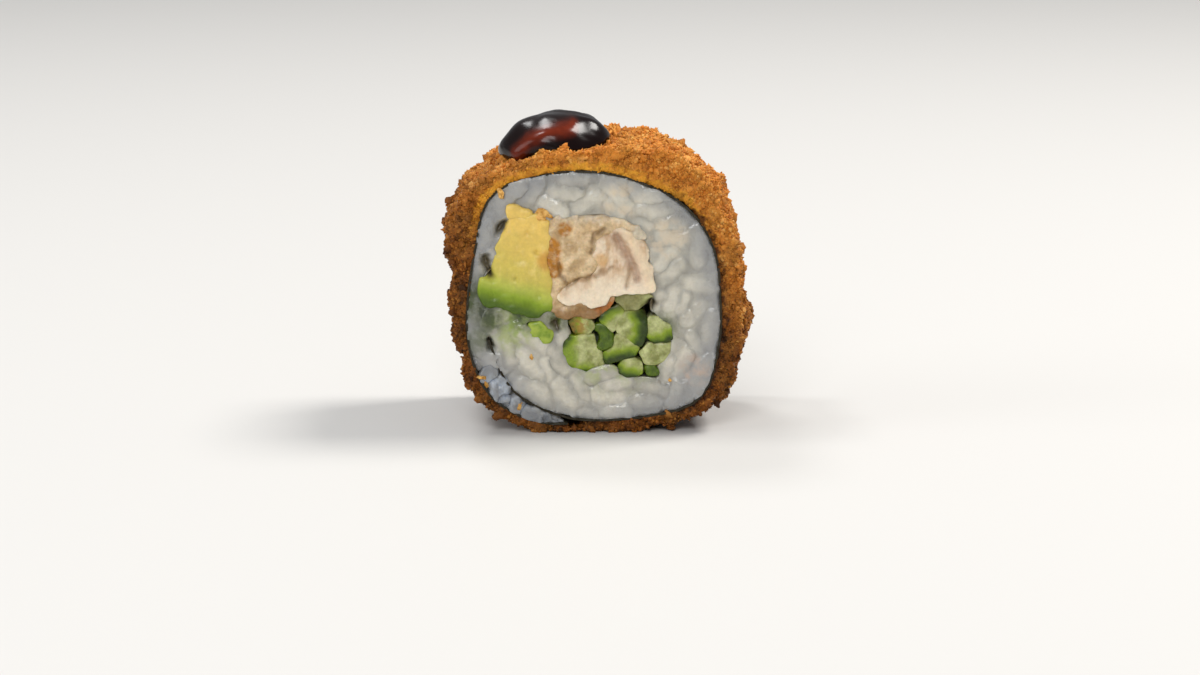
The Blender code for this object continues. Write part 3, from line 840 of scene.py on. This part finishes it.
moves = []
for side in (-1, 1):
    for degrees, reach, length, width in POCKET_GRAINS:
        turn = math.radians(degrees)
        stretch = Matrix.Diagonal((width / GRAIN_WIDTH, 1, length / GRAIN_LENGTH, 1))
        lie = Matrix.Rotation(-turn, 4, "Y")
        place = (math.cos(turn) * reach, side * (FACE - POCKET_DEPTH), math.sin(turn) * reach)
        moves.append(Matrix.Translation(place) @ lie @ stretch)
pocket_grains = joined("pocket_grains", grain_shape, moves)
modify(pocket_grains, "SUBSURF", levels=2, render_levels=2)
points = places(pocket_grains)
points += directions(pocket_grains) * (ripple(points, 1.6, 2.0) * 0.9 + ripple(points, 0.7) * 0.15)[:, None]
press(points, FACE - 0.3, 0.7)
radius, angle = polar(points)
move_out(points, angle, -np.maximum(radius - nori_outside(angle), 0))
put(pocket_grains, points)
bpy.ops.object.shade_smooth()

# %% [markdown]
# Rice is translucent, so light goes in and comes out softened: that is subsurface scattering. It is greyer
# and bluer towards the nori, creamy beside the chicken, and it takes a green tint from the avocado and the
# cucumber. Below the avocado and at the left some grains stand back in the shade.

# %% The rice finish
def with_hollow_shade(finish, colour):
    """Paints shade into the hollows, in everything that lies round them."""
    return finish.mix(colour, (0.09, 0.07, 0.03), finish.kept("sunk").rise(0.15, 1.0))


DIM = (0.14, 0.20, 0.02)
# Places where the grains lie in the shade: x, z, size, strength
SHADED = ((-18.8, -0.5, 5.4, 1.0), (-16.6, -3.6, 3.4, 1.0), (-19.0, -7.0, 3.6, 0.7), (-11.0, -2.6, 4.4, 1.0),
          (-6.0, -3.2, 3.4, 1.0), (10.8, -4.8, 3.8, 0.9))


def cooked(name, painted, outside, tints=()):
    finish = Finish(name, Roughness=0.4, Subsurface_Weight=0.75, Subsurface_Scale=1.3 * MM,
                    Subsurface_Radius=(1.0, 0.85, 0.65), Coat_Weight=0.5, Coat_Roughness=0.09)
    tone = finish.grain(2.4, 3)
    if painted:
        tone = tone * 0.65 + finish.kept("shade") * 0.26 + finish.kept("heart") * 0.22 - 0.03
    white = finish.mix((0.33, 0.315, 0.27), (0.66, 0.625, 0.53), tone.rise(0.2, 0.85))
    white = finish.mottled(white, 0.6, 0.88)
    from_middle = (finish.x * finish.x * 1.15 + finish.z * finish.z) ** 0.5
    toned = finish.mix(white, outside, (from_middle + finish.grain(3.0) * 4.0).rise(18.0, 23.5) * 0.75)
    for x, z, size, tint in tints:
        patch = finish.near(x, z, size) * finish.grain(1.6, 2).rise(0.35, 0.65)
        toned = finish.mix(toned, tint, patch * 0.75)
    for x, z, size, share in SHADED:
        shade = finish.near(x, z, size, 0.8) * (finish.grain(1.2, 3).rise(0.25, 0.6) * 0.5 + 0.5)
        toned = finish.mix(toned, DIM, shade * share, "MULTIPLY")
    finish.colour(with_hollow_shade(finish, toned))
    finish.relief(finish.grain(0.4, 4), 0.13)
    return finish


GREEN, LIME = (0.36, 0.41, 0.14), (0.26, 0.36, 0.04)
ROSY, CREAM = (0.50, 0.38, 0.30), (0.64, 0.54, 0.40)
PALE = (0.44, 0.49, 0.56)
# x, z, size, colour
TINTS = ((-13.5, -4.5, 6.0, GREEN), (-12.4, -4.2, 2.8, LIME), (3.0, -8.0, 9.5, GREEN),
         (16.0, -11.7, 3.5, ROSY), (4.0, 15.5, 4.0, CREAM), (11.5, 9.5, 4.5, CREAM))
POCKET_TINTS = ((-16.0, -15.2, 3.6, PALE), (-12.3, -17.2, 2.0, PALE))
rice_finish = cooked("sushi_rice", True, (0.27, 0.275, 0.285), TINTS)
pocket_finish = cooked("wet_rice", False, (0.17, 0.185, 0.215), POCKET_TINTS)
dress(rice_front, rice_finish, "sushi_rice", "rice")
dress(rice_back, rice_finish, "sushi_rice")
dress(rice_core, rice_finish, "sushi_rice")
dress(pocket_grains, pocket_finish, "sushi_rice")
bpy.data.objects.remove(grain_shape)

# %% [markdown]
# ## The fillings
#
# Each filling is a copy of its solid that is remeshed, grown by a hair so that it meets its neighbours, torn
# a little along some of its edges, and softened, because a knife never leaves a sharp edge on soft food. Then
# its two cut faces are embossed: a function of the place on the face says how far the surface stands out.

# %% Fillings to sculpt
FILLING_VOXEL = 0.22
EMBOSSED_FROM, EMBOSSED_FULLY = 2.2, 0.4  # depths below the cut
HIGHEST = 0.15  # above the cut


def filling(node, name, relief, soften=2, spread=0.0, grow=0.42, wobble=0.6, ragged=0.3):
    """Sculpts one filling. relief gives how far each point of its cut faces stands out."""
    piece = remeshed(node_copy(node, name), FILLING_VOXEL)
    points = places(piece)
    middle = (points.max(axis=0) + points.min(axis=0)) / 2
    points[:, [0, 2]] += (points - middle)[:, [0, 2]] * spread
    points += directions(piece) * (grow, 0, grow)
    torn = smooth(ripple(points, 2.5, 33.0), -0.2, 0.5)
    for size, strength in ((1.8, wobble), (0.9, ragged * torn)):
        points[:, 0] += ripple(points, (size, 6, size), 21.0) * strength
        points[:, 2] += ripple(points, (size, 6, size), 27.0) * strength
    put(piece, points)
    modify(piece, "SMOOTH", factor=0.5, iterations=soften)
    points = places(piece)
    sunk = hollow_at(points)
    near_face = smooth(abs(points[:, 1]), FACE - EMBOSSED_FROM, FACE - EMBOSSED_FULLY)
    raise_face(points, near_face * (relief(points) - sunk * HOLLOW_DEPTH))
    press(points, FACE + HIGHEST, 0.7)
    put(piece, points)
    paint(piece, "sunk", sunk)
    bpy.ops.object.shade_smooth()
    return piece


def fleshy(name, radius, **more):
    """The finish of a moist food that lets a little light in."""
    wet = {"Roughness": 0.42, "Specular_IOR_Level": 0.3, "Coat_Weight": 0.25, "Coat_Roughness": 0.15}
    soft = {"Subsurface_Weight": 0.3, "Subsurface_Scale": 0.9 * MM, "Subsurface_Radius": radius}
    return Finish(name, **{**wet, **soft, **more})


# %% [markdown]
# ### Avocado
#
# The flesh is butter yellow near the stone, then green, and dark green just under the skin, which lay along
# the lower edge of the wedge. The knife leaves it smooth, with a few small pits and drag marks.

# %% Avocado
# x, z, size
PITS = ((-10.8, 10.5, 0.45), (-9.3, 7.4, 0.35), (-12.6, 3.0, 0.4), (-9.0, 0.4, 0.4))


def avocado_face(points):
    height = ripple(points, (4.0, 9, 2.4)) * 0.35 + ripple(points, (1.6, 9, 0.9), 3.0) * 0.14
    height += ripple(points, (0.4, 9, 1.1), 8.0) * 0.05
    for x, z, size in PITS:
        height -= 0.5 * np.exp(-((np.hypot(points[:, 0] - x, points[:, 2] - z) / size) ** 2))
    return height


avocado_finish = fleshy("avocado_flesh", (1.0, 0.85, 0.3), Coat_Weight=0.12)
wander = avocado_finish.grain(2.5, 2) * 1.4 - 0.7
from_skin = avocado_finish.z + (avocado_finish.x + 10.0) * 0.27 + 3.1 + wander
warmth = (avocado_finish.z + avocado_finish.x * 0.6 + avocado_finish.grain(3, 2) * 6).rise(-3, 9)
pale_streaks = avocado_finish.grain(1.3, 3, stretch=(1, 1, 0.5)).rise(0.5, 0.8) * 0.6
flesh = avocado_finish.layers(
    (0.62, 0.52, 0.10),
    ((0.82, 0.57, 0.14), warmth),
    ((0.88, 0.68, 0.26), pale_streaks),
    ((0.48, 0.52, 0.08), 1 - from_skin.rise(3.4, 6.4)),
    ((0.25, 0.36, 0.014), 1 - from_skin.rise(1.9, 4.2)),
    ((0.07, 0.13, 0.004), 1 - from_skin.rise(0.3, 2.6)),
    # Orange batter stain where the avocado meets the batter, with painted shade along that edge
    ((0.62, 0.28, 0.04), avocado_finish.near(-7.6, 6.0, 2.2) * 0.7),
)
flesh = avocado_finish.mottled(flesh, 1.3, 0.9, seed=3.0)
flesh = avocado_finish.mottled(flesh, 0.4, 0.93)
avocado_finish.colour(with_hollow_shade(avocado_finish, flesh))
avocado_finish.relief(avocado_finish.grain(0.7, 3, stretch=(1.6, 1, 0.6)), 0.07)
for node in ("avocado_wedge", "avocado_chip"):
    dress(filling(node, f"{node}_flesh", avocado_face), avocado_finish, "avocado_flesh", node)

sliver_finish = fleshy("avocado_green", (0.8, 1.0, 0.2))
lime = sliver_finish.mix((0.14, 0.24, 0.008), (0.36, 0.44, 0.06), sliver_finish.grain(1.4, 3).rise(0.3, 0.7))
sliver_finish.colour(with_hollow_shade(sliver_finish, lime))
avocado_sliver = filling("avocado_sliver", "avocado_sliver_flesh", avocado_face)
dress(avocado_sliver, sliver_finish, "avocado_flesh", "avocado_sliver")

# %% [markdown]
# ### Chicken
#
# Cooked breast tears along its fibres, so the cut shows strands, with one deep fold where two muscles meet.
# Round it lies the batter it was fried in, now soft and translucent, golden at the left with painted shade
# beside the avocado, brown underneath and as pale as the rice at the top and the right. Its colours are laid
# over each other as coats, each with the share that it covers.

# %% Creases of the chicken and its batter
FOLD = ((3.4, 10.0), (5.4, 6.6), (6.8, 3.2))
STRAND = ((4.8, 10.4), (7.2, 6.6), (8.9, 2.0))
CREASES = (((-2.4, 13.2), (-1.4, 14.0), (2.4, 13.2)), ((1.6, 11.2), (-0.1, 10.3), (-0.4, 9.2)),
           ((-0.5, 8.2), (-0.5, 7.4)), ((-6.0, 5.6), (-5.6, 3.6), (-4.4, 1.8)),
           ((-4.6, 1.8), (0.2, 3.8), (2.9, 5.0)), ((5.2, 2.0), (5.6, 4.6)))


def creased(points, width=0.3):
    moved = wandering(points, 1.1, 0.45)
    return np.max([strokes(moved, corners, width) for corners in CREASES], axis=0)


# %% Chicken meat
def meat_face(points):
    height = ripple(points, (2.4, 9, 1.6), 7.0) * 0.4 + ripple(points, (0.9, 9, 0.6)) * 0.25
    height += strokes(points, STRAND, 0.8) * 0.35 - strokes(points, FOLD, 0.6) * 1.0 - creased(points) * 0.5
    height += ripple(points, (0.5, 9, 0.35), 12.0) * 0.12
    return height + 0.35 * (1 - smooth(points[:, 2], 1.0, 4.0))


meat = filling("chicken_meat", "chicken_strands", meat_face, ragged=0.4)
points = places(meat)
paint(meat, "fold", strokes(points, FOLD, 1.0))
paint(meat, "strand", strokes(points, STRAND, 1.0))
paint(meat, "crease", creased(points, 0.4))
meat_finish = fleshy("chicken_meat", (1.0, 0.6, 0.4))
low_meat = 1 - (meat_finish.z + meat_finish.grain(2.0, 2) * 3.0 - meat_finish.x * 0.3).rise(1.5, 6.0)
fibre = meat_finish.grain(1.2, 4, stretch=(1.0, 0.3, 0.45))
cream = meat_finish.layers(
    (0.58, 0.39, 0.23),
    ((0.82, 0.67, 0.49), fibre.rise(0.32, 0.66)),
    ((0.87, 0.74, 0.56), low_meat),
    ((0.86, 0.69, 0.47), meat_finish.kept("strand") * 0.8),
    # Painted shade in the fold, over its own mauve tint
    ((0.44, 0.28, 0.20), meat_finish.kept("fold") * (meat_finish.grain(0.8, 3) + 0.2)),
    ((0.70, 0.42, 0.16), meat_finish.near(1.0, 6.2, 1.6) * 0.6),
    # Painted shade in the creases
    ((0.33, 0.18, 0.07), meat_finish.kept("crease") * 0.6),
)
cream = meat_finish.mottled(cream, 0.55, 0.9)
meat_finish.colour(with_hollow_shade(meat_finish, cream))
meat_finish.relief(meat_finish.grain(0.5, 4, stretch=(1.5, 1, 0.8)), 0.16)
dress(meat, meat_finish, "chicken_meat", "chicken_meat")


# %% Batter round the meat
def batter_face(points):
    lumps = ripple(points, (2.6, 9, 2.6), 2.0) * 0.6 + ripple(points, (1.0, 9, 1.0)) * 0.35
    return lumps + ripple(points, 0.5) * 0.14 - creased(points) * 0.6


batter = filling("chicken_batter", "soft_batter", batter_face, grow=0.5, ragged=0.5)
paint(batter, "crease", creased(places(batter), 0.4))
batter_finish = fleshy("soft_batter", (1.0, 0.6, 0.25))
# Golden batter beside the avocado, partly painted shade: an orange-brown band with darker spots.
golden = batter_finish.near(-7.2, 7.9, 2.6) + batter_finish.near(-7.0, 4.9, 2.6)
golden = golden + batter_finish.near(-4.8, 11.1, 1.8) * 0.7
golden = golden.rise(0.1, 0.8) * (batter_finish.grain(0.9, 3).rise(0.3, 0.6) * 0.7 + 0.3)
fringe = 1 - (batter_finish.z + batter_finish.grain(1.0, 4) * 4.0 - batter_finish.x * 0.15).rise(0.0, 2.8)
speckles = batter_finish.grain(0.8, 3)
ragged = batter_finish.grain(1.2, 3) * 3.0
upper = (batter_finish.z + ragged).rise(12.8, 15.8)
right = (batter_finish.x + ragged).rise(5.5, 9.0)
tan = batter_finish.layers(
    (0.52, 0.35, 0.17),
    ((0.80, 0.61, 0.37), batter_finish.grain(1.9, 3).rise(0.3, 0.7)),
    ((0.50, 0.20, 0.012), golden),
    ((0.30, 0.12, 0.012), golden * batter_finish.grain(0.8, 3, seed=5.0).rise(0.5, 0.75)),
    ((0.27, 0.13, 0.03), fringe * 0.85),
    ((0.42, 0.13, 0.015), batter_finish.near(1.4, -0.9, 2.4) * speckles.rise(0.3, 0.6)),
    # Painted shade in the creases
    ((0.22, 0.12, 0.04), batter_finish.kept("crease") * 0.7),
    ((0.68, 0.60, 0.47), upper.maths("MAXIMUM", right) * 0.85),
)
tan = batter_finish.mottled(tan, 0.5, 0.82)
batter_finish.colour(with_hollow_shade(batter_finish, tan))
batter_finish.relief(batter_finish.grain(0.5, 4), 0.18)
dress(batter, batter_finish, "fried_batter", "chicken_batter")

# %% [markdown]
# ### Cucumber
#
# The cucumber is cut in sticks, so each has a bit of dark skin on another side and pale, watery flesh. A
# number kept on each vertex says how far the nearest bit of skin is, and one finish serves all the sticks:
# dark skin first, then a millimetre of bright green, then the pale flesh. A stick whose skin is far away is
# all flesh, and one that is cut from the skin alone is all green.

# %% Sticks of cucumber
ALL_FLESH, ALL_SKIN = "flesh", "skin"
FLESH_DEPTH, SKIN_DEPTH = 3.5, 0.45
# The side of each stick that its skin is on, in degrees
SKIN_SIDES = (ALL_FLESH, 118, 5, -50, -115, ALL_SKIN, 165, 190, 225, ALL_SKIN, ALL_FLESH)

cucumber_finish = fleshy("cucumber", (0.6, 1.0, 0.3), Coat_Weight=0.2, Coat_Roughness=0.12)
depth = cucumber_finish.kept("under_skin") + cucumber_finish.grain(0.9, 2) * 0.8 - 0.3
stain = cucumber_finish.near(-2.6, -4.6, 2.0) * cucumber_finish.grain(0.9, 2).rise(0.3, 0.6)
green = cucumber_finish.layers(
    (0.27, 0.29, 0.08),
    ((0.56, 0.58, 0.27), cucumber_finish.grain(1.5, 3).rise(0.3, 0.7)),
    ((0.26, 0.36, 0.012), 1 - depth.rise(1.1, 2.4)),
    ((0.10, 0.17, 0.002), 1 - depth.rise(0.5, 1.5)),
    ((0.028, 0.052, 0.001), 1 - depth.rise(0.15, 0.8)),
    ((0.20, 0.18, 0.055), cucumber_finish.near(5.4, 0.0, 3.4) * 0.75),
    ((0.36, 0.19, 0.025), stain * 0.8),
    ((0.24, 0.34, 0.025), cucumber_finish.near(-4.2, -9.6, 2.2) * 0.85),
)
green = cucumber_finish.mottled(green, 0.45, 0.8)
cucumber_finish.colour(with_hollow_shade(cucumber_finish, green))
cucumber_finish.relief(cucumber_finish.grain(0.5, 4), 0.2)


def under_skin(stick, side):
    """How far each point of a stick is from its skin, which is the side towards this many degrees."""
    flat = places(stick)[:, [0, 2]]
    if side in (ALL_FLESH, ALL_SKIN):
        return np.full(len(flat), FLESH_DEPTH if side == ALL_FLESH else SKIN_DEPTH)
    towards = (math.cos(math.radians(side)), math.sin(math.radians(side)))
    skin = flat[directions(stick)[:, [0, 2]] @ towards > 0.75]
    tree = KDTree(len(skin))
    for index, (x, z) in enumerate(skin.tolist()):
        tree.insert((x, z, 0), index)
    tree.balance()
    return [tree.find((x, z, 0))[2] for x, z in flat.tolist()]


def stick_face(number):
    """Each stick was cut at its own slight slant."""
    draw = np.random.default_rng(number)
    slant_x, slant_z, level = draw.uniform(-0.12, 0.12), draw.uniform(-0.12, 0.12), draw.uniform(-0.45, 0.0)

    def height(points):
        centred = points - points.mean(axis=0)
        slant = centred[:, 0] * slant_x + centred[:, 2] * slant_z
        lumps = ripple(points, (1.6, 9, 1.6), number) * 0.25
        return level + slant + lumps + ripple(points, (0.6, 9, 0.6)) * 0.1

    return height


for number, side in enumerate(SKIN_SIDES, 1):
    node = f"cucumber_stick_{number}"
    plump = {"soften": 1, "spread": 0.16, "grow": 0.2, "wobble": 0.3}
    stick = filling(node, f"cucumber_{number}", stick_face(number), **plump)
    paint(stick, "under_skin", under_skin(stick, side))
    dress(stick, cucumber_finish, "cucumber", node)

# %% [markdown]
# Between the sticks one looks into dark, wet hollows. A shorter plug, made of all the sticks grown together,
# closes them from behind, and its nearly black colour is painted shade.

# %% The dark between the sticks
PLUG_DEPTH = 0.86
numbers = range(1, len(SKIN_SIDES) + 1)
sticks = [node_copy(f"cucumber_stick_{number}", f"plug_{number}") for number in numbers]
for stick in sticks:
    stick.select_set(True)
bpy.ops.object.join()
hollow = bpy.context.object
hollow.name = "cucumber_hollow"
modify(hollow, "DISPLACE", strength=0.35 * MM, mid_level=0)
remeshed(hollow, 0.5)
points = places(hollow)
points[:, 1] *= PLUG_DEPTH
put(hollow, points)
# The plug's colour is painted shade.
plug_shade_finish = Finish("painted_plug_shade", Roughness=0.5)
shadow = plug_shade_finish.mix((0.010, 0.018, 0.004), (0.04, 0.06, 0.015), plug_shade_finish.grain(1.2, 2))
plug_shade_finish.colour(shadow)
dress(hollow, plug_shade_finish, "cucumber")

# %% [markdown]
# ## The sauce
#
# A spoonful of thick, sweet sauce sits on the crumbs. It is so dark that only its reflections show its
# shape, with a red glow along the ridge where the light comes through. The CAD drop is smoothed by
# subdivision, which keeps its two swells, and the ridge is raised along a line.

# %% The drop
RIDGE = ((-12.2, 23.4), (-10.3, 25.4), (-7.6, 26.6), (-3.6, 27.1))

sauce = node_copy("sauce_drop", "sauce_pool")
modify(sauce, "SUBSURF", levels=2, render_levels=2)
points = places(sauce)
ridge = strokes(points, RIDGE, 1.25) * smooth(-points[:, 1], -1.0, 3.0)
points += directions(sauce) * (0.2 + 0.6 * ridge + ripple(points, 4.0) * 0.15)[:, None]
points[:, 2] -= 0.35 + 0.5 * smooth(-points[:, 1], 6.0, 11.0)
put(sauce, points)
paint(sauce, "ridge", ridge)
bpy.ops.object.shade_smooth()
sauce_finish = Finish("brown_sauce", Roughness=0.2, Specular_IOR_Level=0.22)
glow = sauce_finish.kept("ridge") * (sauce_finish.grain(1.5, 2) * 0.6 + 0.45)
sauce_finish.colour(sauce_finish.mix((0.005, 0.0008, 0.0006), (0.15, 0.018, 0.005), glow.rise(0.15, 1.0)))
dress(sauce, sauce_finish, "brown_sauce", "sauce_drop")

# %% [markdown]
# ## Crumbs that strayed
#
# The knife drags a few bits of crust onto the rice. They are copies of the larger chips, laid one by one.

# %% Stray bits of crust
# x, z, size
STRAYS = ((-18.1, -13.0, 1.4), (-17.4, -14.2, 1.0), (-12.0, -17.9, 1.1), (-10.1, -9.7, 0.8),
          (-15.0, 16.9, 1.6), (-8.6, 13.6, 1.9), (-7.4, 13.2, 1.3), (12.0, -13.5, 0.5))

moves = []
for index, (x, z, size) in enumerate(STRAYS):
    turn = Euler((0.6 * index, 1.1 * index, 0.3 * index)).to_matrix().to_4x4()
    moves.append(Matrix.Translation((x, -FACE + 0.4, z)) @ Matrix.Scale(size / 2, 4) @ turn)
strays = joined("stray_crumbs", large_chips.objects[2], moves)
stray_finish = Finish("golden_crumbs", Roughness=0.5, Specular_IOR_Level=0.16)
tone = stray_finish.grain(0.8, 3).rise(0.3, 0.7)
stray_finish.colour(stray_finish.mix((0.45, 0.20, 0.03), (0.80, 0.48, 0.15), tone))
dress(strays, stray_finish, "fried_crumbs")

# %% [markdown]
# ## Floor, light and camera
#
# A pale floor and soft lights show the food plainly. The brightest light comes from above, at the right and
# a little behind, so the crust is bright at its top right and falls into brown at the left. A weaker one from
# the front shows the cut, one at the left and one behind fill the shade, and a small one draws a bright glint
# on the sauce. The camera stands half a metre away and looks 12 degrees down at the roll.

# %% The floor
bpy.ops.object.select_all(action="DESELECT")
bpy.ops.mesh.primitive_plane_add(size=6)
floor = bpy.context.object
floor.name = "floor"
floor_material = bpy.data.materials.new("pale_floor")
floor_material.use_nodes = True
floor_shader = floor_material.node_tree.nodes["Principled BSDF"]
floor_shader.inputs["Base Color"].default_value = (0.62, 0.61, 0.59, 1)
floor_shader.inputs["Roughness"].default_value = 0.6
floor.data.materials.append(floor_material)


# %% The lights
def soft_light(name, place, size, watts, colour=(1, 1, 1)):
    light = bpy.data.lights.new(name, "AREA")
    light.size = size
    light.energy = watts
    light.color = colour
    holder = bpy.data.objects.new(name, light)
    bpy.context.scene.collection.objects.link(holder)
    holder.location = place
    holder.rotation_euler = (MIDDLE - Vector(place)).to_track_quat("-Z", "Y").to_euler()


soft_light("key", (0.55, 0.16, 0.75), 0.30, 7.5, (1.0, 0.97, 0.93))
soft_light("front", (-0.15, -0.95, 0.70), 0.50, 6.5)
soft_light("left", (-0.80, -0.20, 0.35), 0.40, 1.5)
soft_light("behind", (-0.25, 0.55, 0.85), 0.25, 2.5)
soft_light("glint", (-0.40, 0.08, 0.80), 0.14, 1.4)

world = bpy.data.worlds.new("studio")
world.use_nodes = True
sky = world.node_tree.nodes["Background"]
sky.inputs["Color"].default_value = (0.95, 0.97, 1.0, 1)
sky.inputs["Strength"].default_value = 0.30
bpy.context.scene.world = world
bpy.context.scene.view_settings.view_transform = "Standard"

# %% The camera
PITCH = math.radians(12.0)
DISTANCE = 533 * MM
AIM = Vector((0.9, -14.0, 15.8)) * MM

camera = bpy.data.objects.new("camera", bpy.data.cameras.new("camera"))
bpy.context.scene.collection.objects.link(camera)
camera.data.sensor_width = 36
camera.data.lens = 100
camera.data.clip_start = 0.01
camera.location = AIM - Vector((0, math.cos(PITCH), -math.sin(PITCH))) * DISTANCE
camera.rotation_euler = (math.pi / 2 - PITCH, 0, 0)
bpy.context.scene.camera = camera
